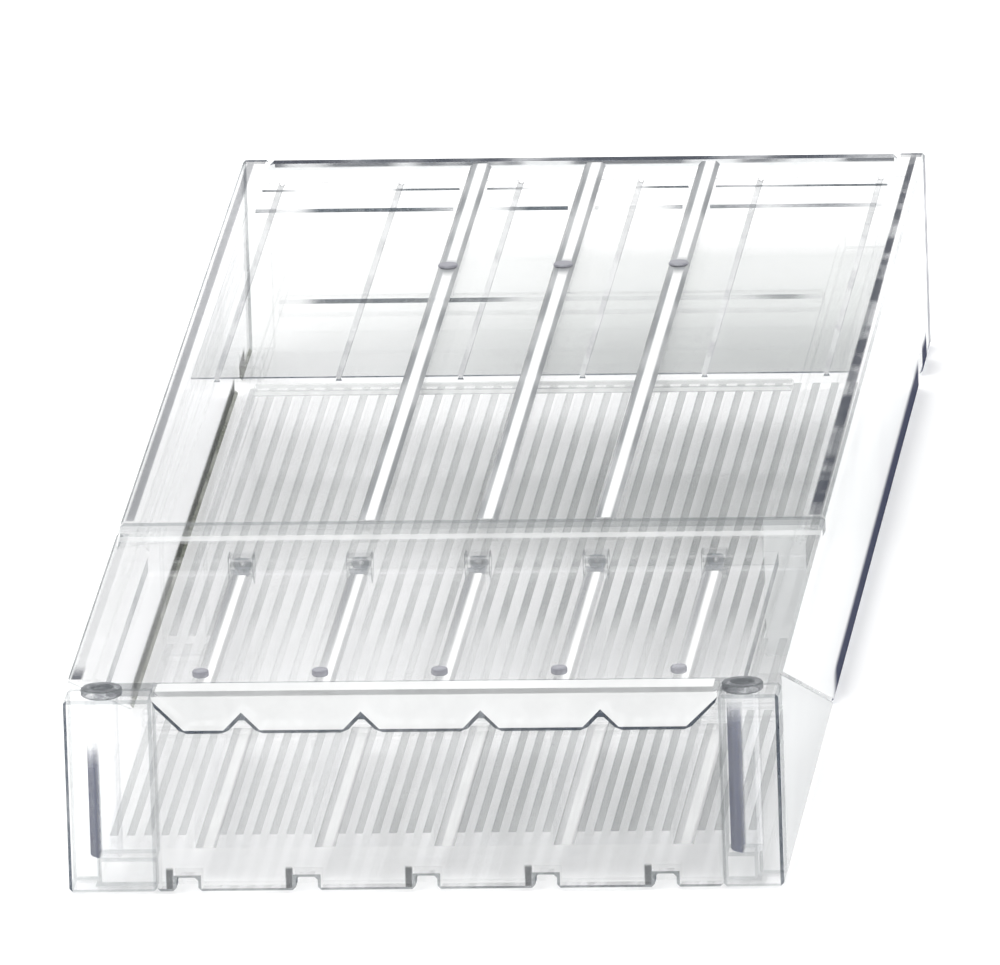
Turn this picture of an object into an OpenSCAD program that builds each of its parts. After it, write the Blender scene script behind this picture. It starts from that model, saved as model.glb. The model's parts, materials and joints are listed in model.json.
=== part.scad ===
// Multi-lane counting chamber (hemocytometer) in the microscope-slide format.
// Clear moulded case: floor, side walls, end walls, five lane dividers at the
// loading end, a ribbed counting plate, a hinged loading flap and a sliding cover.
// X is the width, Y the length with the loading end at -Y, Z is up.
// The origin is the middle of the underside.

/* [Case] */
// Outer width, the width of a microscope slide
case_w = 26; // [25:0.5:40]
// Outer length, the length of a microscope slide
case_l = 76; // [76:0.5:100]
// Height of the walls
case_h = 7.5; // [6:0.1:12]
// Thickness of the side and end walls
wall_t = 1.0; // [0.8:0.1:1.3]
// Thickness of the floor
floor_t = 1.0; // [0.6:0.1:1.5]
// Width of the left front corner post
left_post_w = 3.2; // [2.2:0.1:3.4]
// Width of the right front corner post
right_post_w = 2.2; // [2.2:0.1:2.8]
// Length of the cross slot through the floor near the rear
slot_l = 1.6; // [0.8:0.1:3]

/* [Lanes] */
// Centre distance of the lane dividers
lane_pitch = 4.35; // [3.8:0.05:4.8]
// Thickness of a lane divider
divider_t = 0.75; // [0.4:0.05:1.5]
// Length of a lane divider
divider_l = 16.3; // [10:0.1:16.6]
// Centre distance of the fine ribs of the counting plate
rib_pitch = 0.71; // [0.5:0.01:1.5]
// Width of a fine rib
rib_w = 0.3; // [0.1:0.01:0.5]
// Height of a fine rib
rib_h = 0.25; // [0.1:0.01:0.6]
// Centre distance of the fine ribs of the inlet strips
inlet_pitch = 0.62; // [0.5:0.01:1.5]
// Width of the ledge that carries the sliding cover on each side
ledge_w = 1.7; // [1:0.1:2.5]

/* [Sliding cover] */
// Thickness of the sliding cover
cover_t = 0.5; // [0.3:0.05:0.5]
// Length of the sliding cover
cover_l = 28.6; // [24:0.1:28.6]
// Gap above and below the cover in its grooves
cover_gap = 0.05; // [0.02:0.01:0.1]
// Width of a guide bar over the cover
bar_w = 0.8; // [0.6:0.05:1.5]

/* [Loading flap] */
// Thickness of the flap plate
flap_t = 0.5; // [0.3:0.05:0.6]
// Radius of the hinge rod
rod_r = 0.3; // [0.2:0.05:0.35]
// Running clearance of the knuckles on the rod, on the radius
rod_clear = 0.06; // [0.02:0.01:0.1]
// Outer radius of a hinge knuckle
knuckle_r = 0.6; // [0.5:0.05:0.7]

/* [Hidden] */
$fn = 32;
eps = 0.01;
hw = case_w / 2;
hl = case_l / 2;
in_w = hw - wall_t;
// cross slot through the floor
slot_y1 = hl - 6.2;
slot_y2 = slot_y1 + slot_l;
// the lanes lie midway between the corner posts
lane_offset = (left_post_w - right_post_w) / 2;
// front corner posts and their pins
post_d = 1.8;
post_top = case_h - 0.3;
post_y = -hl + post_d;
pin_r = 0.6;
pin_x = hw - 1.35;
pin_y = -hl + 0.85;
pin_z = floor_t + 0.2;
pin_head_r = 0.75;
pin_dimple_r = 0.4;
pin_dimple_h = 0.15;
// foot of the seam between side wall and front gusset
seam_y = -hl + 25;
// front wall and lip, with a loading port at the middle of each lane
front_t = 1.0;
lip_z = case_h - 1.6;
lip_t = 1.4;
lip_x1 = -hw + left_post_w;
lip_x2 = hw - right_post_w;
lip_cut = 1.1;
port_w = 1.2;
port_h = 0.6;
drain_w = 0.8;
drain_h = 0.5;
// front crossbar, let into the side walls
bar_y1 = -hl + 22.1;
bar_y2 = -hl + 23.6;
bar_z = case_h - 0.5;
// hinge of the loading flap
rod_y = -hl + 19.8;
rod_z = case_h - 0.75;
rod_x = in_w + 0.6;
knuckle_w = 0.9;
knuckle_web = 0.9;
flap_z = rod_z + knuckle_r - flap_t;
flap_x = in_w - 0.4;
flap_y1 = post_y + 0.1;
flap_y2 = rod_y - 0.65;
grip_y = flap_y1 + 0.8;
grip_r = 0.3;
grip_h = 0.25;
// lane dividers, inlet strips and the sill behind them
div_y1 = -hl + 2.3;
div_y2 = div_y1 + divider_l;
div_z = flap_z - 0.05;
div_chamfer = 0.15;
strip_t = 0.3;
strip_gap = 0.05;
side_gap = 2 * strip_gap;
strip_rib_h = 0.2;
strip_w = lane_pitch - divider_t - side_gap;
sill_l = 0.7;
sill_z = floor_t + 0.6;
// sliding cover and its grooves
cover_z = case_h - 1.05;
cover_x = in_w + 0.4;
groove_d = 0.5;
groove_y1 = bar_y2 + 0.2;
cover_y1 = hl - 30;
cover_y2 = cover_y1 + cover_l;
// pull bar under the cover's front edge
pull_l = 1;
pull_h = 0.25;
// counting plate and the ledges on both sides of it
plate_t = 0.5;
plate_y1 = div_y2 + sill_l + 0.1;
plate_y2 = hl - 12.2;
plate_x = in_w - 0.1;
ledge_x = in_w - ledge_w;
ledge_y1 = -hl + 27.6;
ledge_h = 1;
ledge_leg = 1;
ledge_top = cover_z - cover_gap;
pull_x = ledge_x - 0.2;
rib_n = floor((2 * plate_x - rib_w) / rib_pitch) + 1;
// guide bars over the cover, their studs, the rear crossbar and the support rail
guide_z = case_h - 0.45;
guide_y2 = hl - wall_t;
guide_x = [for (i = [-1:1]) lane_x(i)];
guide_chamfer = 0.12;
cross_y1 = hl - 7.6;
cross_y2 = hl - 4.5;
stud_y = hl - 16.3;
stud_r = 0.2;
stud_d = 0.35;
stud_head_r = 0.38;
stud_head_h = 0.12;
rail_hl = 0.5;
rail_h = 0.7;
// scored lines on the cover
score_pitch = case_w / 5.7;
score_w = 0.16;
score_d = 0.12;

clear = [0.93, 0.96, 0.96, 0.35];
smoke = [0.80, 0.85, 0.86, 0.35];
steel = [0.36, 0.42, 0.52];

// middle of lane divider i, from -2 to 2
function lane_x(i) = lane_offset + i * lane_pitch;

// block from its two corners
module block(x1, x2, y1, y2, z1, z2) {
    translate([x1, y1, z1]) cube([x2 - x1, y2 - y1, z2 - z1]);
}

// plate along Y with its two long top edges chamfered
module topped_bar(x, w, y1, y2, z1, z2, c) {
    translate([x, y2, 0]) rotate([90, 0, 0]) linear_extrude(y2 - y1)
        polygon([[-w / 2, z1], [w / 2, z1], [w / 2, z2 - c], [w / 2 - c, z2],
            [-w / 2 + c, z2], [-w / 2, z2 - c]]);
}

module base_plate() color(clear) {
    block(-in_w, in_w, -hl + front_t, slot_y1, 0, floor_t);
}

module rear_floor_strip() color(clear) {
    block(-in_w, in_w, slot_y2, hl - wall_t, 0, floor_t);
}

// one side wall for side = -1 or 1, in its Y-Z outline
module side_wall(side) {
    difference() {
        rotate([90, 0, 90]) translate([0, 0, side > 0 ? in_w : -hw]) linear_extrude(wall_t)
            polygon([[seam_y, 0], [slot_y1, 0], [slot_y1, floor_t], [slot_y2, floor_t],
                [slot_y2, 0], [hl, 0], [hl, case_h], [bar_y2, case_h], [bar_y2, bar_z],
                [bar_y1, bar_z], [bar_y1, case_h], [post_y, case_h]]);
        // groove for the sliding cover
        translate([side > 0 ? in_w - eps : -in_w - groove_d, groove_y1, cover_z - cover_gap])
            cube([groove_d + eps, hl - wall_t - groove_y1, cover_t + 2 * cover_gap]);
        // seat of the hinge rod
        translate([0, rod_y, rod_z]) rotate([0, 90, 0])
            cylinder(r = rod_r, h = 2 * rod_x, center = true);
    }
}

module left_side_wall() color(clear) side_wall(-1);
module right_side_wall() color(clear) side_wall(1);

module rear_wall() color(clear) {
    block(-in_w, in_w, hl - wall_t, hl, 0, case_h);
}

// wedge cheek that fills the side below the seam
module gusset(side) {
    rotate([90, 0, 90]) translate([0, 0, side > 0 ? in_w : -hw]) linear_extrude(wall_t)
        polygon([[post_y, 0], [seam_y, 0], [post_y, case_h]]);
}

module left_front_gusset() color(clear) gusset(-1);
module right_front_gusset() color(clear) gusset(1);

// corner post with a bore for its pin
module corner_post(side) {
    difference() {
        block(side > 0 ? lip_x2 : -hw, side > 0 ? hw : lip_x1, -hl, post_y, 0, post_top);
        // rebate over the floor plate
        block(-in_w, in_w, -hl + front_t, 0, -1, floor_t);
        translate([side * pin_x, pin_y, pin_z]) cylinder(r = pin_r, h = case_h);
    }
}

module left_corner_post() color(clear) corner_post(-1);
module right_corner_post() color(clear) corner_post(1);

// headed pin pressed into a corner post
module corner_pin(side) {
    translate([side * pin_x, pin_y, 0]) difference() {
        union() {
            translate([0, 0, pin_z]) cylinder(r = pin_r, h = post_top - pin_z);
            translate([0, 0, post_top]) cylinder(r = pin_head_r, h = case_h - post_top);
        }
        translate([0, 0, case_h - pin_dimple_h]) cylinder(r = pin_dimple_r, h = 1);
    }
}

module left_corner_pin() color(steel) corner_pin(-1);
module right_corner_pin() color(steel) corner_pin(1);

module front_wall() color(clear) {
    difference() {
        block(lip_x1, lip_x2, -hl, -hl + front_t, 0, lip_z);
        // drain notches under the lane dividers
        for (i = [-2:2])
            translate([i * lane_pitch - drain_w / 2, -hl - 1, -1])
                cube([drain_w, front_t + 2, 1 + drain_h]);
    }
}

// bar along the top of the front wall; its cut corners and the notches in
// its lower edge leave one loading port for each lane
module front_lip_rail() color(clear) {
    translate([0, -hl + lip_t, 0]) rotate([90, 0, 0]) linear_extrude(lip_t)
        difference() {
            polygon([[lip_x1 + lip_cut, lip_z], [lip_x2 - lip_cut, lip_z],
                [lip_x2, lip_z + lip_cut], [lip_x2, case_h],
                [lip_x1, case_h], [lip_x1, lip_z + lip_cut]]);
            for (i = [-2:1]) translate([(i + 0.5) * lane_pitch, lip_z])
                polygon([[-port_w / 2, -eps], [port_w / 2, -eps], [0, port_h]]);
        }
}

// ribbed plate under the viewing zone, notched around the legs of the ledges
module counting_plate() color(smoke) difference() {
    union() {
        block(-plate_x, plate_x, plate_y1, plate_y2, floor_t, floor_t + plate_t);
        for (i = [0:rib_n - 1])
            translate([(i - (rib_n - 1) / 2) * rib_pitch - rib_w / 2, plate_y1,
                floor_t + plate_t - eps])
                cube([rib_w, plate_y2 - plate_y1, rib_h + eps]);
    }
    for (s = [-1, 1])
        block(s > 0 ? ledge_x - strip_gap : -in_w, s > 0 ? in_w : -ledge_x + strip_gap,
            ledge_y1 - strip_gap, ledge_y1 + ledge_leg + strip_gap, 0, case_h);
}

// one ribbed strip on the floor of a lane, from x1 to x2
module inlet_strip(x1, x2) {
    n = floor((x2 - x1 - rib_w) / inlet_pitch) + 1;
    block(x1, x2, div_y1, div_y2, floor_t, floor_t + strip_t);
    for (i = [0:n - 1])
        translate([(x1 + x2) / 2 + (i - (n - 1) / 2) * inlet_pitch - rib_w / 2, div_y1,
            floor_t + strip_t - eps])
            cube([rib_w, div_y2 - div_y1, strip_rib_h + eps]);
}

module inlet_strips() color(smoke) {
    for (i = [-2:1]) inlet_strip(lane_x(i + 0.5) - strip_w / 2, lane_x(i + 0.5) + strip_w / 2);
    inlet_strip(-in_w + side_gap, lane_x(-2) - divider_t / 2 - side_gap);
    inlet_strip(lane_x(2) + divider_t / 2 + side_gap, in_w - side_gap);
}

module lane_divider(i) {
    topped_bar(lane_x(i), divider_t, div_y1, div_y2, floor_t, div_z, div_chamfer);
}

module lane_divider_1() color(clear) lane_divider(-2);
module lane_divider_2() color(clear) lane_divider(-1);
module lane_divider_3() color(clear) lane_divider(0);
module lane_divider_4() color(clear) lane_divider(1);
module lane_divider_5() color(clear) lane_divider(2);

// low bar across the floor behind the dividers
module lane_sill() color(clear) {
    block(-in_w, in_w, div_y2, div_y2 + sill_l, floor_t, sill_z);
}

// ledge along the inside of a side wall with a leg at its front end; the cover
// slides on it
module cover_ledge(side) {
    rotate([90, 0, 90]) translate([0, 0, side > 0 ? ledge_x : -in_w]) linear_extrude(ledge_w)
        polygon([[ledge_y1, floor_t], [ledge_y1 + ledge_leg, floor_t],
            [ledge_y1 + ledge_leg, ledge_top - ledge_h], [slot_y1, ledge_top - ledge_h],
            [slot_y1, ledge_top], [ledge_y1, ledge_top]]);
}

module left_cover_ledge() color(smoke) cover_ledge(-1);
module right_cover_ledge() color(smoke) cover_ledge(1);

module front_crossbar() color(clear) {
    block(-hw, hw, bar_y1, bar_y2, bar_z, case_h);
}

// short pieces between the guide bars and the side walls
module rear_crossbar() color(clear) {
    e = [-in_w, for (x = guide_x) each [x - bar_w / 2, x + bar_w / 2], in_w];
    for (i = [0:2:6]) block(e[i], e[i + 1], cross_y1, cross_y2, guide_z, case_h);
}

// rail that carries the cover from below
module cover_support_rail() color(clear) {
    block(-ledge_x, ledge_x, stud_y - rail_hl, stud_y + rail_hl,
        ledge_top - rail_h, ledge_top);
}

module guide_bar(x) {
    difference() {
        topped_bar(x, bar_w, bar_y2, guide_y2, guide_z, case_h, guide_chamfer);
        translate([x, stud_y, case_h - stud_d]) cylinder(r = stud_r, h = 1);
    }
}

module guide_bar_1() color(clear) guide_bar(guide_x[0]);
module guide_bar_2() color(clear) guide_bar(guide_x[1]);
module guide_bar_3() color(clear) guide_bar(guide_x[2]);

module guide_bar_studs() color(steel) {
    for (x = guide_x) translate([x, stud_y, 0]) {
        translate([0, 0, case_h - stud_d]) cylinder(r = stud_r, h = stud_d);
        translate([0, 0, case_h]) cylinder(r = stud_head_r, h = stud_head_h);
    }
}

module hinge_rod() color(clear) {
    translate([0, rod_y, rod_z]) rotate([0, 90, 0])
        cylinder(r = rod_r, h = 2 * rod_x, center = true);
}

module loading_flap() color(clear) {
    difference() {
        union() {
            block(-flap_x, flap_x, flap_y1, flap_y2, flap_z, flap_z + flap_t);
            for (i = [-2:2]) translate([lane_x(i), rod_y, rod_z]) {
                rotate([0, 90, 0]) cylinder(r = knuckle_r, h = knuckle_w, center = true);
                translate([-knuckle_w / 2, -knuckle_web, knuckle_r - flap_t])
                    cube([knuckle_w, knuckle_web, flap_t]);
            }
        }
        translate([0, rod_y, rod_z]) rotate([0, 90, 0])
            cylinder(r = rod_r + rod_clear, h = case_w, center = true);
    }
}

module flap_grip_studs() color(smoke) {
    for (i = [-2:2]) translate([lane_x(i), grip_y, flap_z + flap_t])
        cylinder(r = grip_r, h = grip_h);
}

module sliding_cover() color(clear) {
    difference() {
        block(-cover_x, cover_x, cover_y1, cover_y2, cover_z, cover_z + cover_t);
        // scored lines
        for (i = [0:5])
            translate([(i - 2.5) * score_pitch - score_w / 2, cover_y1 - 1,
                cover_z + cover_t - score_d])
                cube([score_w, cover_l + 2, 1]);
    }
}

module cover_pull_bar() color(smoke) {
    block(-pull_x, pull_x, cover_y1, cover_y1 + pull_l, cover_z - pull_h, cover_z);
}

base_plate();
rear_floor_strip();
left_side_wall();
right_side_wall();
rear_wall();
front_wall();
front_lip_rail();
left_corner_post();
right_corner_post();
left_corner_pin();
right_corner_pin();
left_front_gusset();
right_front_gusset();
counting_plate();
inlet_strips();
lane_divider_1();
lane_divider_2();
lane_divider_3();
lane_divider_4();
lane_divider_5();
lane_sill();
left_cover_ledge();
right_cover_ledge();
front_crossbar();
rear_crossbar();
cover_support_rail();
guide_bar_1();
guide_bar_2();
guide_bar_3();
guide_bar_studs();
hinge_rod();
loading_flap();
flap_grip_studs();
sliding_cover();
cover_pull_bar();
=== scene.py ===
import json
import math

import bmesh
import bpy
from mathutils import Matrix, Vector


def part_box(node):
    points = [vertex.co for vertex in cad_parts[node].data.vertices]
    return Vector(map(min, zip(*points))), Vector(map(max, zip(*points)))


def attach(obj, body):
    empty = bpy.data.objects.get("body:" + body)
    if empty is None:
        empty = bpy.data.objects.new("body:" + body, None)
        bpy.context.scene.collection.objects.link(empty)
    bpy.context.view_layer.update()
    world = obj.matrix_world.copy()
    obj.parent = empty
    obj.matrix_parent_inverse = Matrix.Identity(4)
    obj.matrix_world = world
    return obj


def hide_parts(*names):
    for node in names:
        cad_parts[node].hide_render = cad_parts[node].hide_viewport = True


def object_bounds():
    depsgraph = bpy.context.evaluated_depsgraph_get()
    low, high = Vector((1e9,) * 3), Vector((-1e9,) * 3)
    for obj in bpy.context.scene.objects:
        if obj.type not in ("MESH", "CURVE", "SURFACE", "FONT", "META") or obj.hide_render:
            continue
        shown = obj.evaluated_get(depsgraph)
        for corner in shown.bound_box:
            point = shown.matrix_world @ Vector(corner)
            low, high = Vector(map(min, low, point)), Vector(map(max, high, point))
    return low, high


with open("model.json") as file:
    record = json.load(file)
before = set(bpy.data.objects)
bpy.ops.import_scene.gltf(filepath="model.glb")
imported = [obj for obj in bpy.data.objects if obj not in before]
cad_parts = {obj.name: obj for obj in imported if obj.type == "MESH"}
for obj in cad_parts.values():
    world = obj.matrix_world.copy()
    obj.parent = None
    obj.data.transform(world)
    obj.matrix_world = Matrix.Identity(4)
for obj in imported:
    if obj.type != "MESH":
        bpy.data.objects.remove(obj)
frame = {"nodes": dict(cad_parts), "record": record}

cad_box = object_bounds()
MM = 0.001
X, Y, Z = 0, 1, 2
BODIES = frame["record"]["behaviour"]["bodies"]
BODY_OF = {node: body for body, nodes in BODIES.items() for node in nodes}


# --------------------------------------- places on the case, in millimetres
def span(node, axis):
    """Lowest and highest place of a CAD node along an axis."""
    low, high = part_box(node)
    return low[axis] * 1000.0, high[axis] * 1000.0


def middle(node, axis):
    return sum(span(node, axis)) / 2


# lowest and highest corner of the case
lo, hi = (Vector(v) * 1000.0 for v in cad_box)
bar_front, bar_rear = span("front_crossbar", Y)
case_top = span("front_crossbar", Z)[1]
seam_y = span("left_front_gusset", Y)[1]
slot_y = span("base_plate", Y)[1]
lane_pitch = span("guide_bar_3", X)[0] - span("guide_bar_2", X)[0]
lane_middle = middle("lane_divider_3", X)
stud_y = middle("guide_bar_studs", Y)
hinge_y = middle("hinge_rod", Y)
hinge_z = middle("hinge_rod", Z)
cover_top = span("sliding_cover", Z)[1]
cover_front = span("sliding_cover", Y)[0]
ledge_front = span("right_cover_ledge", Y)[0]


# --------------------------------------------------------------- node graphs
class Graph:
    """Short way to write a node tree."""

    def __init__(self, name):
        self.mat = bpy.data.materials.new(name)
        self.mat.use_nodes = True
        self.nodes = self.mat.node_tree.nodes
        self.links = self.mat.node_tree.links
        self.nodes.clear()
        self.out = self.nodes.new("ShaderNodeOutputMaterial")
        self.at = self.nodes.new("ShaderNodeTexCoord").outputs["Object"]
        self._xyz = None

    def put(self, socket, value):
        if isinstance(value, bpy.types.NodeSocket):
            self.links.new(value, socket)
        elif isinstance(value, (tuple, list)) and len(value) == 3 and socket.type == "RGBA":
            socket.default_value = (*value, 1.0)
        else:
            socket.default_value = value

    def node(self, kind, out=0, props=None, **inputs):
        """One output of a new node. An input is named, or numbered as in i0."""
        n = self.nodes.new("ShaderNode" + kind)
        for key, value in (props or {}).items():
            setattr(n, key, value)
        for key, value in inputs.items():
            numbered = key[0] == "i" and key[1:].isdigit()
            self.put(n.inputs[int(key[1:]) if numbered else key.replace("_", " ")], value)
        return n.outputs[out]

    def math(self, op, a, b=0.0, clamp=False):
        return self.node("Math", props={"operation": op, "use_clamp": clamp}, i0=a, i1=b)

    def times(self, first, *others):
        product = first
        for other in others:
            product = self.math("MULTIPLY", product, other)
        return product

    def most(self, first, *others):
        """The largest of the values."""
        largest = first
        for other in others:
            largest = self.math("MAXIMUM", largest, other)
        return largest

    def minus(self, a, b):
        return self.math("SUBTRACT", a, b)

    def absolute(self, value):
        return self.math("ABSOLUTE", value)

    def axis(self, i):
        """Coordinate X, Y or Z of the point, in millimetres."""
        if self._xyz is None:
            self._xyz = self.nodes.new("ShaderNodeSeparateXYZ")
            self.links.new(self.at, self._xyz.inputs[0])
        return self.math("MULTIPLY", self._xyz.outputs[i], 1000.0)

    def ramp(self, value, start, end, a=0.0, b=1.0):
        """Smooth change from a to b while value goes from start to end."""
        n = self.nodes.new("ShaderNodeMapRange")
        n.interpolation_type = "SMOOTHSTEP"
        self.put(n.inputs[0], value)
        for i, v in ((1, start), (2, end), (3, a), (4, b)):
            n.inputs[i].default_value = v
        return n.outputs[0]

    def noise(self, size_mm, stretch=(1, 1, 1), detail=2.0):
        n = self.nodes.new("ShaderNodeTexNoise")
        self.put(n.inputs["Vector"], self.node("Mapping", i0=self.at, i3=tuple(1.0 / s for s in stretch)))
        n.inputs["Scale"].default_value = 1000.0 / size_mm
        n.inputs["Detail"].default_value = detail
        return n.outputs[0]

    def blend_colour(self, fac, a, b):
        """Mix of two colours, which are the Mix node's inputs 6 and 7."""
        return self.node("Mix", out=2, props={"data_type": "RGBA"}, i0=fac, i6=a, i7=b)

    def tone(self, level, colour):
        """Colour pulled from white (level 0) to the given colour (level 1)."""
        return self.blend_colour(level, (1, 1, 1), colour)

    def bump(self, height, distance_mm, strength):
        return self.node("Bump", Height=height, Distance=distance_mm * MM, Strength=strength)

    def shiny(self, **inputs):
        return self.node("BsdfAnisotropic", **inputs)

    def mix(self, fac, a, b):
        return self.node("MixShader", i0=fac, i1=a, i2=b)

    def finish(self, shader):
        self.links.new(shader, self.out.inputs[0])
        return self.mat


def near(g, value, centre, half, soft=0.5):
    """1 where value is within half of centre, falling to 0 at its ends."""
    d = g.math("DIVIDE", g.absolute(g.minus(value, centre)), half)
    return g.ramp(d, soft, 1.0, 1.0, 0.0)


# a shift of whole lanes keeps the remainder positive, and the half lane centres it
LANE_SHIFT = 10.5


def across_lane(g, centre):
    """Distance across from the nearest of a row of places, one lane apart, of which
    one is at centre."""
    shifted = g.math("ADD", g.minus(g.axis(X), centre), lane_pitch * LANE_SHIFT)
    return g.minus(g.math("MODULO", shifted, lane_pitch), lane_pitch / 2)


# --------------------------------------------------------- kinds of material
def clear_plastic(name, colour=(0.80, 0.82, 0.82), level=0.10, haze=0.03,
                  haze_colour=(0.93, 0.94, 0.94), shade=None, fade=None, line=None,
                  gloss=0.5, rough=0.08, wave=6.0, relief=False, outside=False):
    """See-through moulded plastic: a tinted clear body, slow moulding waves, a faint
    cloudy haze and a soft reflection that grows towards grazing angles. shade(g)
    gives an extra darkness from 0 to 1 that depends on the place: painted shade on most
    faces, and random tone on the posts and pin heads. fade(g) scales the darkness, and
    line is a colour and where a painted dark line stands for a corner behind the face.
    relief adds surface waves, and outside keeps the haze off the inner side and out of
    the light's way."""
    g = Graph(name)
    cloud = g.noise(wave, stretch=(1, 2.2, 1), detail=2 if relief else 1)
    amount = g.times(g.ramp(cloud, 0.3, 0.7, 0.65, 1.35), level)
    if shade is not None:
        amount = g.math("ADD", amount, shade(g), clamp=True)
    if fade is not None:
        amount = g.times(amount, fade(g))
    body = g.node("BsdfTransparent", Color=g.tone(amount, colour))
    milky = g.node("BsdfDiffuse", Color=haze_colour, Roughness=0.6)
    cloudy = g.times(g.ramp(cloud, 0.3, 0.7, 0.9, 1.1), haze)
    if outside:
        seen_from_front = g.minus(1.0, g.node("NewGeometry", out="Backfacing"))
        cloudy = g.times(cloudy, seen_from_front, g.node("LightPath", out="Is Camera Ray"))
    base = g.mix(cloudy, body, milky)
    surface = {}
    if relief:
        waves = g.math("ADD", g.times(cloud, 0.9), g.times(g.noise(0.35), 0.1))
        surface["Normal"] = g.bump(waves, 0.05, 0.35)
    polish = g.ramp(cloud, 0.3, 0.7, rough * 0.6, rough * 1.6)
    shine = g.shiny(Color=(0.98, 0.98, 1.0), Roughness=polish, **surface)
    face = g.mix(g.times(g.node("Fresnel", IOR=1.49, **surface), gloss), base, shine)
    if line is not None:
        line_colour, line_rule = line
        face = g.mix(line_rule(g), face, g.node("BsdfDiffuse", Color=line_colour))
    return g.finish(face)


def painted_edge_line(name, colour, strength, uneven=0.25, cell=(3.0, 3.0, 3.0)):
    """Painted dark line of uneven depth that stands in for a polished corner, which
    bends the light away."""
    g = Graph(name)
    along = g.ramp(g.noise(1.0, stretch=cell, detail=1), 0.38, 0.62, 1.0 - uneven, 1.0)
    fine = g.ramp(g.noise(0.25, detail=2), 0.3, 0.7, 0.9, 1.05)
    depth = g.times(along, strength, fine)
    thin = g.node("BsdfTransparent", Color=g.tone(depth, colour))
    dark = g.node("BsdfDiffuse", Color=colour, Roughness=0.5)
    return g.finish(g.mix(g.math("MULTIPLY", depth, 0.4, clamp=True), thin, dark))


def milky_top(name, colour, density, streak=0.10, border=None):
    """Top face of a bar: nearly white, slightly streaked along its length. border(g)
    says where the painted dark border of shade is."""
    g = Graph(name)
    lengthwise = g.noise(0.5, stretch=(1, 14, 1), detail=2)
    soft = g.noise(4.0, detail=1)
    streaked = tuple(v * (1 - streak) for v in colour)
    tint = g.blend_colour(g.ramp(lengthwise, 0.3, 0.7, 0.0, 1.0), colour, streaked)
    white = g.node("BsdfDiffuse", Color=tint, Roughness=0.4)
    clear = g.node("BsdfTransparent", Color=(0.985, 0.99, 0.99))
    base = g.mix(g.ramp(soft, 0.3, 0.7, density * 0.85, density), clear, white)
    if border is not None:
        base = g.mix(border(g), base, g.node("BsdfDiffuse", Color=(0.13, 0.14, 0.15)))
    n = g.bump(lengthwise, 0.02, 0.3)
    shine = g.shiny(Color=(1, 1, 1), Roughness=0.15, Normal=n)
    return g.finish(g.mix(g.times(g.node("Fresnel", IOR=1.45, Normal=n), 0.4), base, shine))


PIN_RADIUS = 0.6


def pin_with_painted_streak(name, node, width_mm, top_mm):
    """Clear polished pin with a painted dark blue streak of shade on its left flank, up to top_mm."""
    g = Graph(name)
    rings = g.noise(0.15, stretch=(6, 6, 1), detail=2)
    flank = g.minus(g.axis(X), middle(node, X))
    streak_end = -PIN_RADIUS + width_mm
    streak = g.ramp(flank, streak_end, streak_end + 0.12, 1.0, 0.0)
    streak = g.times(streak, g.ramp(g.axis(Z), top_mm - 1.3, top_mm, 1.0, 0.0))
    streak = g.times(streak, g.ramp(rings, 0.3, 0.7, 0.85, 1.0))
    haze = g.tone(g.ramp(rings, 0.3, 0.7, 0.02, 0.07), (0.6, 0.65, 0.75))
    clear = g.node("BsdfTransparent", Color=haze)
    blue = g.node("BsdfDiffuse", Color=(0.05, 0.065, 0.14))
    shine = g.shiny(Color=(1, 1, 1), Roughness=0.1, Normal=g.bump(rings, 0.01, 0.3))
    return g.finish(g.mix(0.05, g.mix(streak, clear, blue), shine))


def ringed(name):
    """Clear hinge knuckle with a painted dark ring that stands for the bore seen through it."""
    g = Graph(name)
    across = across_lane(g, lane_middle)
    high = g.minus(g.axis(Z), hinge_z + 0.05)
    d = g.math("SQRT", g.math("ADD", g.times(across, across), g.times(high, high)))
    ring = g.times(g.ramp(d, 0.0, 0.16, 0.35, 1.0), g.ramp(d, 0.28, 0.40, 1.0, 0.0))
    ring = g.times(ring, g.ramp(g.noise(0.4, detail=2), 0.3, 0.7, 0.75, 1.0))
    clear = g.node("BsdfTransparent", Color=(0.97, 0.975, 0.975))
    grey = g.node("BsdfDiffuse", Color=(0.22, 0.24, 0.26))
    shine = g.shiny(Color=(1, 1, 1), Roughness=0.1, Normal=g.bump(d, 0.05, 0.2))
    return g.finish(g.mix(0.04, g.mix(g.times(ring, 0.8), clear, grey), shine))


# ------------------------------------------- where the painted dark lines and borders are
def foot_line(g, height):
    """Painted dark line along the lower outer corner of a side wall, broken at the cross slot and at the
    seam.
    """
    y = g.axis(Y)
    low = g.ramp(g.axis(Z), height * 0.6, height, 1.0, 0.0)
    run = g.times(g.ramp(y, seam_y - 0.5, seam_y + 2.0), g.ramp(y, slot_y - 0.8, slot_y - 0.1, 1.0, 0.0))
    dash = near(g, y, slot_y + 2.7, 1.4, 0.8)
    return g.times(low, g.most(run, dash), 0.94)


def end_line(g):
    """Painted broken grey line where the rear wall is seen end-on through the side wall."""
    broken = g.ramp(g.noise(1.0, stretch=(3, 3, 0.8), detail=1), 0.35, 0.6, 0.22, 0.50)
    return g.times(g.ramp(g.axis(Y), hi.y - 1.5, hi.y - 1.1), broken)


def right_foot(g):
    return g.most(foot_line(g, 1.25), end_line(g))


def left_foot(g):
    return foot_line(g, 0.80)


def rear_top(g):
    """The top corner of the rear wall, as a painted broken dark line."""
    top = g.ramp(g.axis(Z), case_top - 0.38, case_top - 0.30)
    broken = g.ramp(g.noise(1.0, stretch=(2.4, 3, 3), detail=1), 0.42, 0.58, 0.15, 0.9)
    return g.times(top, broken)


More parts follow.
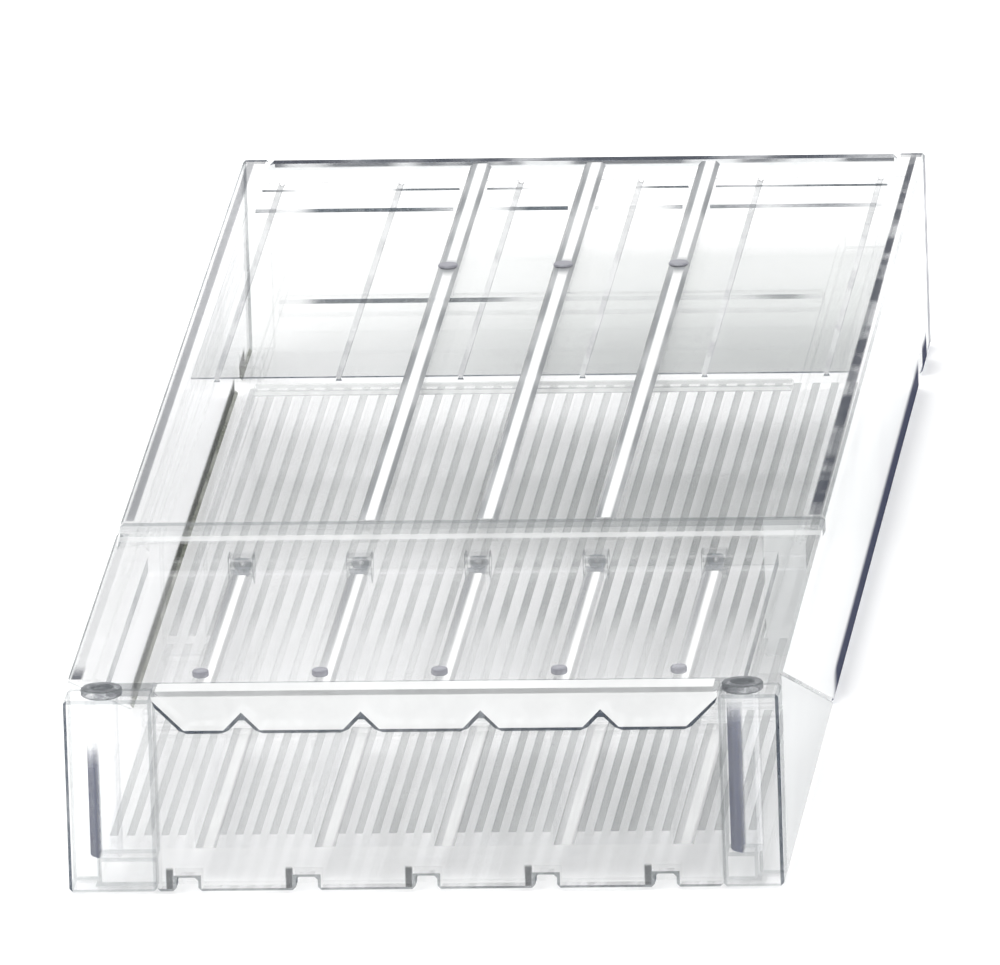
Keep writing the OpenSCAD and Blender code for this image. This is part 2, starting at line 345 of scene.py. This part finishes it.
def notch_line(g):
    """Painted dark corner beside each drain notch. The notches are centred on the case."""
    beside = near(g, across_lane(g, 0.0), -0.62, 0.16, 0.6)
    low = g.ramp(g.axis(Z), 0.80, 0.95, 1.0, 0.0)
    within = g.ramp(g.absolute(g.axis(X)), lane_pitch * 2.3, lane_pitch * 2.35, 0.8, 0.0)
    return g.times(beside, low, within)


def rim_line(g):
    """Painted dark lines along the top of the walls: strong at the right and at the rear."""
    x = g.axis(X)
    y = g.axis(Y)
    width = g.ramp(y, bar_rear, hi.y, 0.27, 0.15)
    d = g.math("DIVIDE", g.absolute(g.minus(x, hi.x - 0.40)), width)
    wavy = g.ramp(g.noise(1.0, stretch=(3, 2.2, 3), detail=1), 0.38, 0.60, 0.55, 0.92)
    behind_bar = g.ramp(y, bar_rear - 1.2, bar_rear + 0.2)
    right = g.times(g.ramp(d, 0.6, 1.0, 1.0, 0.0), g.times(wavy, behind_bar))
    left_x = lo.x + 0.34
    left = g.times(near(g, x, left_x, 0.2), g.ramp(y, bar_front, bar_rear + 1, 0.18, 0.62))
    corner = g.times(near(g, x, left_x, 0.26), g.ramp(y, lo.y + 2.2, lo.y + 4.5, 0.85, 0.0))
    uneven = g.ramp(g.noise(1.0, stretch=(3, 3, 3), detail=1), 0.40, 0.60, 0.35, 0.85)
    rear = g.times(near(g, y, hi.y - 0.45, 0.36, 0.6), uneven)
    return g.most(right, left, corner, rear)


def divider_border(g):
    """Painted shade: a dark band along the left side, strongest at the hinge end, and a
    grey one along the right side."""
    x = across_lane(g, lane_middle)
    depth = g.ramp(g.axis(Y), lo.y + 3, lo.y + 17, 0.60, 0.93)
    left = g.times(g.ramp(x, -0.10, 0.05, 1.0, 0.0), depth)
    return g.most(left, g.times(g.ramp(x, 0.20, 0.28), 0.62))


def foot_border(g):
    """Painted shade, grey along both sides of the foot of a divider, wider on the left."""
    x = g.minus(across_lane(g, lane_middle), 0.08)
    return g.times(g.ramp(g.absolute(x), 0.14, 0.22), 0.55)


def guide_border(g):
    """Painted thin dark line along both sides, wider on the left, and the painted shadow of the stud."""
    x = g.minus(across_lane(g, lane_middle), 0.06)
    uneven = g.ramp(g.noise(1.0, stretch=(2, 5, 2), detail=1), 0.35, 0.65, 0.70, 0.92)
    sides = g.times(g.ramp(g.absolute(x), 0.13, 0.22), uneven)
    return g.most(sides, g.times(near(g, g.axis(Y), stud_y, 1.5, 0.3), 0.72))


# --------------------------------------------------- how the painted shade and the random tone vary
def front_shade(g):
    """Painted shade: slightly darker from the first lane rightwards, and towards the top."""
    return g.times(g.ramp(g.axis(X), -9.5, -7.0, 0.0, 0.03), g.ramp(g.axis(Z), 6.5, 1.0, 1.0, 0.6))


def cover_shade(g):
    """Painted shade that sets in ahead of the rear edge, and deepens towards the front and the right."""
    y = g.axis(Y)
    forward = g.math("ADD", g.ramp(y, 31.0, 24.0, 0.0, 0.40), g.ramp(y, 24.0, 9.0, 0.0, 0.14))
    return g.times(forward, g.ramp(g.axis(X), -11.0, 5.0, 0.62, 1.18))


def rib_shade(g):
    """Painted shade: darker towards the right, and a little towards the rear."""
    return g.times(g.ramp(g.axis(X), -12.0, 11.0, 0.0, 0.35), g.ramp(g.axis(Y), -36.0, 20.0, 0.7, 1.0))


def rib_fade(g):
    """Scales the darkness of the rib tops, painted shade included: full in the lanes,
    faint behind the hinge, strongest before the middle and then even to the rear."""
    y = g.axis(Y)
    plate = g.times(g.ramp(y, -12.0, -4.5, 0.35, 1.5), g.ramp(y, -3.0, 3.0, 1.0, 0.56))
    return g.most(plate, g.ramp(y, -21.0, -18.0, 1.0, 0.0))


# painted shade on the floor between the ribs, darker towards the rear
def valley_shade(g):
    return g.ramp(g.axis(Y), 14.0, 22.0, 0.0, 0.16)


# painted shade on the crossbar's top, darker towards the right
def cross_shade(g):
    return g.ramp(g.axis(X), -10.0, 12.0, 0.0, 0.30)


# painted shade on the front end of the right cover ledge, darker towards the top
def ledge_end_shade(g):
    return g.ramp(g.axis(Z), 1.0, 6.0, 0.0, 0.3)


def post_shade(g):
    return g.ramp(g.noise(1.1, stretch=(1, 1, 4)), 0.5, 0.75, 0.0, 0.10)


def post_front_shade(g):
    return g.ramp(g.noise(1.1, stretch=(1, 1, 5)), 0.45, 0.7, 0.0, 0.30)


def head_shade(g):
    return g.ramp(g.noise(0.5, detail=2), 0.40, 0.65, 0.0, 0.5)


def standing_painted_shade(g):
    """0 on a sheet that lies flat, and more on one that stands up: painted shade for the
    edge-lit grey that a standing sheet shows."""
    up = g.node("SeparateXYZ", out=Z, i0=g.node("NewGeometry", out="Normal"))
    return g.times(g.ramp(g.absolute(up), 0.6, 0.95, 1.0, 0.0), 0.27)


# ------------------------------------------------------------------ finishes, some with painted shade and painted dark lines
LOOK = {}

# walls and floor
LOOK["hidden"] = clear_plastic("clear_inner", level=0.006, haze=0.002, gloss=0.15)
LOOK["wall"] = clear_plastic("clear_wall", level=0.02, haze=0.004, gloss=0.12)
LOOK["rim"] = clear_plastic(
    "clear_rim", level=0.03, haze=0.03, gloss=0.06, line=((0.05, 0.055, 0.07), rim_line))
# painted shade: the right wall's outer face is greyed, with a painted dark line along its foot and at its
# rear end
LOOK["wall_outer"] = clear_plastic(
    "clear_wall_outer", level=0.20, haze=0.55, wave=9, relief=True,
    line=((0.025, 0.03, 0.07), right_foot))
LOOK["wall_left"] = clear_plastic(
    "clear_wall_left", level=0.03, haze=0.05, wave=7, relief=True,
    line=((0.012, 0.016, 0.004), left_foot))
LOOK["wall_rear"] = clear_plastic(
    "clear_wall_rear", level=0.03, haze=0.60, haze_colour=(0.80, 0.81, 0.82), wave=5,
    relief=True, outside=True, gloss=0.3, rough=0.12, line=((0.07, 0.08, 0.11), rear_top))
# painted shade: the outer face of the right gusset is grey, the left one is clear
LOOK["gusset_outer"] = clear_plastic(
    "gusset_outer", colour=(0.66, 0.68, 0.68), level=0.40, haze=0.72,
    haze_colour=(0.62, 0.63, 0.63), wave=9, relief=True)
LOOK["front"] = clear_plastic("clear_front", level=0.02, haze=0.008, wave=3)
LOOK["front_outer"] = clear_plastic(
    "front_outer", colour=(0.66, 0.68, 0.68), level=0.03, haze=0.01, wave=3, gloss=0.3,
    relief=True, shade=front_shade, line=((0.05, 0.055, 0.06), notch_line))
LOOK["lip"] = milky_top("lip_face", (0.74, 0.745, 0.745), 0.80, streak=0.03)

# corner posts and pins
LOOK["post"] = clear_plastic("clear_post", level=0.02, haze=0.01, wave=1.4, gloss=0.3, shade=post_shade)
LOOK["post_front"] = clear_plastic(
    "post_front", level=0.02, haze=0.10, haze_colour=(0.90, 0.91, 0.91), wave=1.4,
    relief=True, gloss=0.3, shade=post_front_shade)
LOOK["pin_left"] = pin_with_painted_streak("pin_left", "left_corner_pin", 0.30, 5.6)
LOOK["pin_right"] = pin_with_painted_streak("pin_right", "right_corner_pin", 0.42, 6.9)
LOOK["pin_head"] = clear_plastic(
    "pin_head", colour=(0.3, 0.31, 0.33), level=0.45, haze=0.25, wave=0.6,
    haze_colour=(0.30, 0.31, 0.33), gloss=0.3, relief=True, shade=head_shade)

# sliding cover and its ledges
LOOK["cover"] = clear_plastic(
    "cover_face", colour=(0.30, 0.32, 0.31), level=0.01, haze=0.02, rough=0.12, wave=8,
    gloss=0.15, relief=True, shade=cover_shade)
LOOK["cover_under"] = clear_plastic("cover_under", level=0.01, haze=0.01, gloss=0.1)
LOOK["score"] = painted_edge_line("scored_line", (0.30, 0.31, 0.32), 0.5, uneven=0.25)
LOOK["bar_top"] = milky_top("bar_top", (0.93, 0.935, 0.935), 0.60)
LOOK["ledge"] = clear_plastic("ledge_clear", level=0.008, haze=0.003, gloss=0.03)
# painted shade: the front end of the right ledge is grey, the left one is clear
LOOK["ledge_end"] = clear_plastic(
    "ledge_end", colour=(0.52, 0.54, 0.54), level=0.30, haze=0.65, gloss=0.1,
    haze_colour=(0.84, 0.85, 0.85), relief=True, shade=ledge_end_shade)

# loading flap
LOOK["flap"] = clear_plastic(
    "flap_face", colour=(0.34, 0.36, 0.37), level=0.004, haze=0.005, gloss=0.15,
    relief=True, shade=standing_painted_shade)
# painted shade on the edge faces of the flap
LOOK["flap_rim"] = clear_plastic(
    "flap_rim", colour=(0.16, 0.18, 0.20), level=0.40, haze=0.10,
    haze_colour=(0.3, 0.32, 0.34), wave=2, gloss=0.15)
LOOK["knuckle"] = ringed("hinge_knuckle")
LOOK["stud"] = clear_plastic(
    "grip_stud", colour=(0.3, 0.32, 0.34), level=0.45, haze=0.45,
    haze_colour=(0.42, 0.42, 0.47), relief=True)

# ribbed plates
LOOK["valley"] = clear_plastic(
    "ribbed_valley", colour=(0.5, 0.51, 0.51), level=0.02, haze=0.01, gloss=0.2,
    shade=valley_shade)
LOOK["rib"] = clear_plastic(
    "ribbed_top", colour=(0.36, 0.375, 0.375), level=0.36, haze=0.12,
    haze_colour=(0.50, 0.51, 0.51), wave=5, gloss=0.15, shade=rib_shade, fade=rib_fade)
LOOK["rib_side"] = clear_plastic("ribbed_side", colour=(0.6, 0.62, 0.62), level=0.03, haze=0.02, gloss=0.2)

# crossbar, dividers and guide bars
LOOK["cross_top"] = clear_plastic(
    "cross_top", colour=(0.30, 0.32, 0.33), level=0.16, haze=0.10,
    haze_colour=(0.5, 0.52, 0.53), gloss=0.1, shade=cross_shade)
LOOK["cross_front"] = milky_top("cross_front", (0.95, 0.955, 0.955), 0.55, streak=0.04)
LOOK["divider_top"] = milky_top("divider_top", (0.97, 0.97, 0.97), 0.80, border=divider_border)
LOOK["divider_foot"] = milky_top("divider_foot", (0.97, 0.97, 0.97), 0.70, border=foot_border)
LOOK["guide_top"] = milky_top("guide_top", (0.96, 0.965, 0.965), 0.70, border=guide_border)
LOOK["bar_side"] = clear_plastic("bar_side", colour=(0.60, 0.62, 0.62), level=0.02, haze=0.01, gloss=0.15)

# painted dark lines on the worked edges, from dark to pale
LOOK["dark"] = painted_edge_line("edge_dark", (0.10, 0.12, 0.15), 0.90)
LOOK["wavy"] = painted_edge_line("edge_wavy", (0.14, 0.16, 0.19), 0.90, uneven=0.5, cell=(3.2, 3, 3))
LOOK["dashed"] = painted_edge_line("edge_dashed", (0.12, 0.14, 0.16), 0.95, uneven=0.9, cell=(4.0, 4, 4))
LOOK["blue"] = painted_edge_line("edge_blue", (0.07, 0.09, 0.17), 0.92, uneven=0.15)
LOOK["olive"] = painted_edge_line("edge_olive", (0.12, 0.13, 0.09), 0.92, uneven=0.2)
LOOK["mid"] = painted_edge_line("edge_mid", (0.28, 0.30, 0.31), 0.80)
LOOK["light"] = painted_edge_line("edge_light", (0.52, 0.54, 0.55), 0.55)
LOOK["pale"] = painted_edge_line("edge_pale", (0.80, 0.81, 0.81), 0.25)


# -------------------------------------------------------- making of a piece
# vertices closer than this, in metres, become one
WELD = 2e-6
# faces closer to flat than this become one
FLAT_ANGLE = math.radians(0.5)
# corners sharper than this are worked
SHARP_ANGLE = math.radians(30)
# corners softer than this are shaded as round
SMOOTH_ANGLE = math.radians(28)
# shortest corner that is worked, in widths of the worked edge
SHORTEST_EDGE = 3.2


def worked_edges(bm, width_mm, fine):
    """Cut the sharp corners to a small edge, whose faces get material index 1."""
    shortest = 0.0 if fine else SHORTEST_EDGE * width_mm * MM
    sharp = [
        e for e in bm.edges
        if len(e.link_faces) == 2 and e.calc_face_angle(0) > SHARP_ANGLE and e.calc_length() >= shortest
    ]
    bmesh.ops.bevel(
        bm, geom=sharp, offset=width_mm * MM, offset_type="OFFSET", segments=1, profile=0.5,
        affect="EDGES", clamp_overlap=True, material=1)


def piece(node, width_mm, face_rule, edge_rule=None, fine=False):
    """A copy of the CAD node with its sharp corners worked to a small edge. The
    faces and the worked edges each get their own finish from the two rules, which
    take the middle of the face in millimetres and its normal. Corners much shorter
    than the edge are left as they are, unless fine is true."""
    mesh = frame["nodes"][node].data.copy()
    mesh.name = "look_" + node
    mesh.materials.clear()
    bm = bmesh.new()
    bm.from_mesh(mesh)
    bmesh.ops.remove_doubles(bm, verts=bm.verts, dist=WELD)
    bmesh.ops.dissolve_limit(bm, angle_limit=FLAT_ANGLE, verts=bm.verts, edges=bm.edges)
    for f in bm.faces:
        f.material_index = 0
    if width_mm:
        worked_edges(bm, width_mm, fine)
    used = []
    for f in bm.faces:
        rule = edge_rule if f.material_index == 1 else face_rule
        key = rule(f.calc_center_median() * 1000.0, f.normal)
        if key not in used:
            used.append(key)
        f.material_index = used.index(key)
        f.smooth = True
    for e in bm.edges:
        e.smooth = e.calc_face_angle(0) < SMOOTH_ANGLE
    bm.to_mesh(mesh)
    bm.free()
    for key in used:
        mesh.materials.append(LOOK[key])
    look = bpy.data.objects.new("look_" + node, mesh)
    bpy.context.scene.collection.objects.link(look)
    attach(look, BODY_OF[node])
    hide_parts(node)


# ----------------------------------------- which finish a face or an edge has; most edge finishes are painted dark lines
# a face points along an axis when its normal has this much of it
FACING = 0.9
# a face this close to the outside of the case is part of it, in millimetres
SKIN = 0.2
# heads and top edges are above this, and the walls' middles are below it
UPPER_Z = case_top - 0.5


def always(key):
    return lambda c, n: key


def side_face(c, n):
    if abs(n.x) > FACING and abs(c.x) > hi.x - SKIN and c.x * n.x > 0:
        return "wall_outer" if c.x > 0 else "wall_left"
    if n.z > FACING and c.z > case_top - 0.1:
        return "rim"
    return "hidden" if n.z < -0.5 else "wall"


def side_edge(c, n):
    right = c.x > 0
    outer = abs(c.x) > hi.x - 0.35
    top = c.z > hi.z - 0.9
    rear = c.y > hi.y - 0.4
    if top and rear:
        return "wavy"
    if top and outer:
        if not right:
            return "mid"
        return "light" if c.y > bar_rear - 0.2 else "pale"
    if outer and c.z < 0.6 and n.z < -0.3 and abs(n.y) < 0.5:
        return "blue" if right else "olive"
    return "mid" if outer and rear else "pale"


def gusset_face(c, n):
    return "gusset_outer" if n.x > FACING and c.x > hi.x - SKIN else "wall"


def gusset_edge(c, n):
    return "light" if abs(c.x) > hi.x - 0.3 and n.z > 0.2 else "pale"


def rear_face(c, n):
    if n.z > FACING:
        return "rim"
    return "wall_rear" if n.y > FACING and c.y > hi.y - 0.3 else "hidden"


def rear_edge(c, n):
    if c.z < UPPER_Z:
        return "hidden"
    return "wavy" if c.y > hi.y - 0.5 else "light"


def front_face(c, n):
    if n.y < -FACING:
        return "front_outer"
    return "dark" if n.x > FACING and c.z < 1.0 else "front"


def front_edge(c, n):
    return "mid" if c.z < 0.8 and c.y < lo.y + 0.5 else "pale"


def lip_edge(c, n):
    if c.y > lo.y + 0.4 or n.z > 0.2:
        return "pale"
    return "dark" if n.z < -0.2 else "light"


def post_face(c, n):
    return "post_front" if n.y < -FACING and c.y < lo.y + SKIN else "post"


def post_edge(c, n):
    return "dark" if abs(c.x) > hi.x - 0.4 and n.y < 0 and abs(n.x) > 0.3 else "light"


def pin_rule(shank, head):
    return lambda c, n: head if c.z > UPPER_Z else shank


def rib_rule(node):
    top = span(node, Z)[1]

    def rule(c, n):
        if n.z > FACING and c.z > top - 0.1:
            return "rib"
        if abs(n.x) > FACING and c.z > top - 0.2:
            return "rib_side"
        return "valley" if n.z > 0.5 else "hidden"
    return rule


def divider_face(c, n):
    if n.z > 0.5:
        return "divider_top"
    return "divider_foot" if n.z < -FACING else "bar_side"


def ledge_face(c, n):
    front = n.y < -FACING and c.y < ledge_front + SKIN
    return "ledge_end" if front and c.x > 0 else "ledge"


def crossbar_face(c, n):
    if n.z > FACING:
        return "cross_top"
    return "cross_front" if n.y < -FACING else "wall"


def crossbar_edge(c, n):
    return "light" if n.z > 0.2 and c.y >= bar_front + 0.4 else "pale"


def rear_crossbar_edge(c, n):
    return "dashed" if n.z > 0.2 and abs(n.x) < 0.5 else "pale"


def rail_edge(c, n):
    return "dashed" if n.z > 0.2 and n.y < 0 else "hidden"


def guide_face(c, n):
    return "guide_top" if n.z > 0.5 else "bar_side"


def flap_face(c, n):
    if abs(c.y - hinge_y) < 0.62 and n.y < 0.3 and abs(n.x) < 0.5:
        return "knuckle"
    if abs(n.z) > 0.3:
        return "flap"
    return "hidden" if c.y > hinge_y - 2.5 and abs(n.x) < 0.5 else "flap_rim"


def flap_edge(c, n):
    if c.y > hinge_y - 2.5 and abs(c.x) < hi.x - 2.5:
        return "pale"
    return "dark" if n.z < -0.2 and abs(n.x) + abs(n.y) > 0.4 else "light"


def cover_face(c, n):
    if n.z > 0.5:
        return "cover" if c.z > cover_top - 0.05 else "score"
    return "score" if abs(n.x) > FACING and abs(c.x) < hi.x - 1 else "cover_under"


def cover_edge(c, n):
    if c.y < cover_front + 0.3 and n.z > 0:
        return "dark"
    return "score" if n.z > 0.2 else "hidden"


# -------------------------------------------------------------------- pieces
piece("base_plate", 0.08, always("hidden"), always("hidden"))
piece("rear_floor_strip", 0.08, always("hidden"), always("hidden"))
piece("left_side_wall", 0.2, side_face, side_edge)
piece("right_side_wall", 0.2, side_face, side_edge)
piece("rear_wall", 0.2, rear_face, rear_edge)
piece("front_wall", 0.12, front_face, front_edge)
piece("front_lip_rail", 0.16, always("lip"), lip_edge)
for side in ("left", "right"):
    shank = "pin_" + side
    piece(side + "_corner_post", 0.12, post_face, post_edge)
    piece(side + "_corner_pin", 0.05, pin_rule(shank, "pin_head"), pin_rule(shank, "mid"), fine=True)
    piece(side + "_front_gusset", 0.06, gusset_face, gusset_edge)
    piece(side + "_cover_ledge", 0.08, ledge_face, always("pale"))
for ribbed in ("counting_plate", "inlet_strips"):
    piece(ribbed, 0.0, rib_rule(ribbed))
for i in range(1, 6):
    piece("lane_divider_%d" % i, 0.0, divider_face)
piece("lane_sill", 0.08, always("ledge"), always("pale"))
piece("front_crossbar", 0.16, crossbar_face, crossbar_edge)
piece("rear_crossbar", 0.12, always("hidden"), rear_crossbar_edge)
piece("cover_support_rail", 0.14, always("hidden"), rail_edge)
for i in range(1, 4):
    piece("guide_bar_%d" % i, 0.0, guide_face)
piece("guide_bar_studs", 0.04, always("stud"), always("stud"), fine=True)
piece("hinge_rod", 0.05, always("hidden"), always("pale"))
piece("loading_flap", 0.07, flap_face, flap_edge)
piece("flap_grip_studs", 0.04, always("stud"), always("stud"), fine=True)
piece("sliding_cover", 0.04, cover_face, cover_edge, fine=True)
piece("cover_pull_bar", 0.06, always("bar_top"), always("pale"))


# ------------------------------------------------------ stage, light, camera
# metres, apart from the gap in millimetres below the case
FLOOR_SIZE = 6.0
LAMP_SIZE = 0.6
FLOOR_GAP = 0.1
SKY_STRENGTH = 1.12
# name, energy and place of each lamp
KEY_LIGHT = ("key", 4.0, (-0.35, -0.25, 0.9))
FILL_LIGHT = ("fill", 1.5, (0.5, -0.5, 0.6))

CAMERA_AZIMUTH = math.radians(5.1)
CAMERA_ELEVATION = math.radians(15.1)
CAMERA_ROLL = math.radians(-1.9)
# metres
CAMERA_DISTANCE = 1.5
SENSOR_WIDTH = 36.0
# millimetres: the width that the view spans at the case, and how far to the left of
# the case's middle and above it the camera aims
VIEW_WIDTH = 37.106
AIM_LEFT = 0.2597
AIM_UP = 1.1132


def stage():
    mesh = bpy.data.meshes.new("studio_floor")
    bm = bmesh.new()
    bmesh.ops.create_grid(bm, x_segments=2, y_segments=2, size=FLOOR_SIZE)
    bm.to_mesh(mesh)
    bm.free()
    floor = bpy.data.objects.new("studio_floor", mesh)
    floor.location = (0, 0, -FLOOR_GAP * MM)
    bpy.context.scene.collection.objects.link(floor)
    g = Graph("studio_paper")
    paper = g.blend_colour(g.noise(30.0), (0.955, 0.957, 0.958), (0.94, 0.943, 0.945))
    mesh.materials.append(g.finish(g.node("BsdfDiffuse", Color=paper)))


def light():
    world = bpy.data.worlds.new("studio")
    bpy.context.scene.world = world
    world.use_nodes = True
    sky = world.node_tree.nodes["Background"]
    sky.inputs["Color"].default_value = (1.0, 1.0, 1.0, 1)
    sky.inputs["Strength"].default_value = SKY_STRENGTH
    for name, energy, at in (KEY_LIGHT, FILL_LIGHT):
        data = bpy.data.lights.new(name, "AREA")
        data.energy = energy
        data.size = LAMP_SIZE
        lamp = bpy.data.objects.new(name, data)
        lamp.location = at
        lamp.rotation_euler = (-Vector(at)).to_track_quat("-Z", "Y").to_euler()
        bpy.context.scene.collection.objects.link(lamp)


def camera():
    """Long lens from the front, a little to the right and above."""
    az = CAMERA_AZIMUTH
    el = CAMERA_ELEVATION
    level = Vector((math.cos(az), math.sin(az), 0))
    ahead = Vector((-math.sin(az) * math.cos(el), math.cos(az) * math.cos(el), -math.sin(el)))
    above = level.cross(ahead)
    right = math.cos(CAMERA_ROLL) * level + math.sin(CAMERA_ROLL) * above
    up = -math.sin(CAMERA_ROLL) * level + math.cos(CAMERA_ROLL) * above
    case_middle = Vector((0, 0, hi.z / 2)) * MM
    aim = case_middle - right * (AIM_LEFT * MM) + up * (AIM_UP * MM)
    data = bpy.data.cameras.new("camera")
    data.type = "PERSP"
    data.sensor_width = SENSOR_WIDTH
    data.lens = SENSOR_WIDTH * CAMERA_DISTANCE / (VIEW_WIDTH * MM)
    data.clip_start = 0.1
    data.clip_end = 20.0
    cam = bpy.data.objects.new("camera", data)
    pose = Matrix((right, up, -ahead)).transposed().to_4x4()
    pose.translation = aim - ahead * CAMERA_DISTANCE
    cam.matrix_world = pose
    bpy.context.scene.collection.objects.link(cam)
    bpy.context.scene.camera = cam


stage()
light()
camera()
scene = bpy.context.scene
scene.view_settings.view_transform = "Standard"
scene.cycles.transparent_max_bounces = 64
scene.cycles.max_bounces = 4
scene.cycles.diffuse_bounces = 2
scene.cycles.glossy_bounces = 1

bpy.context.view_layer.update()
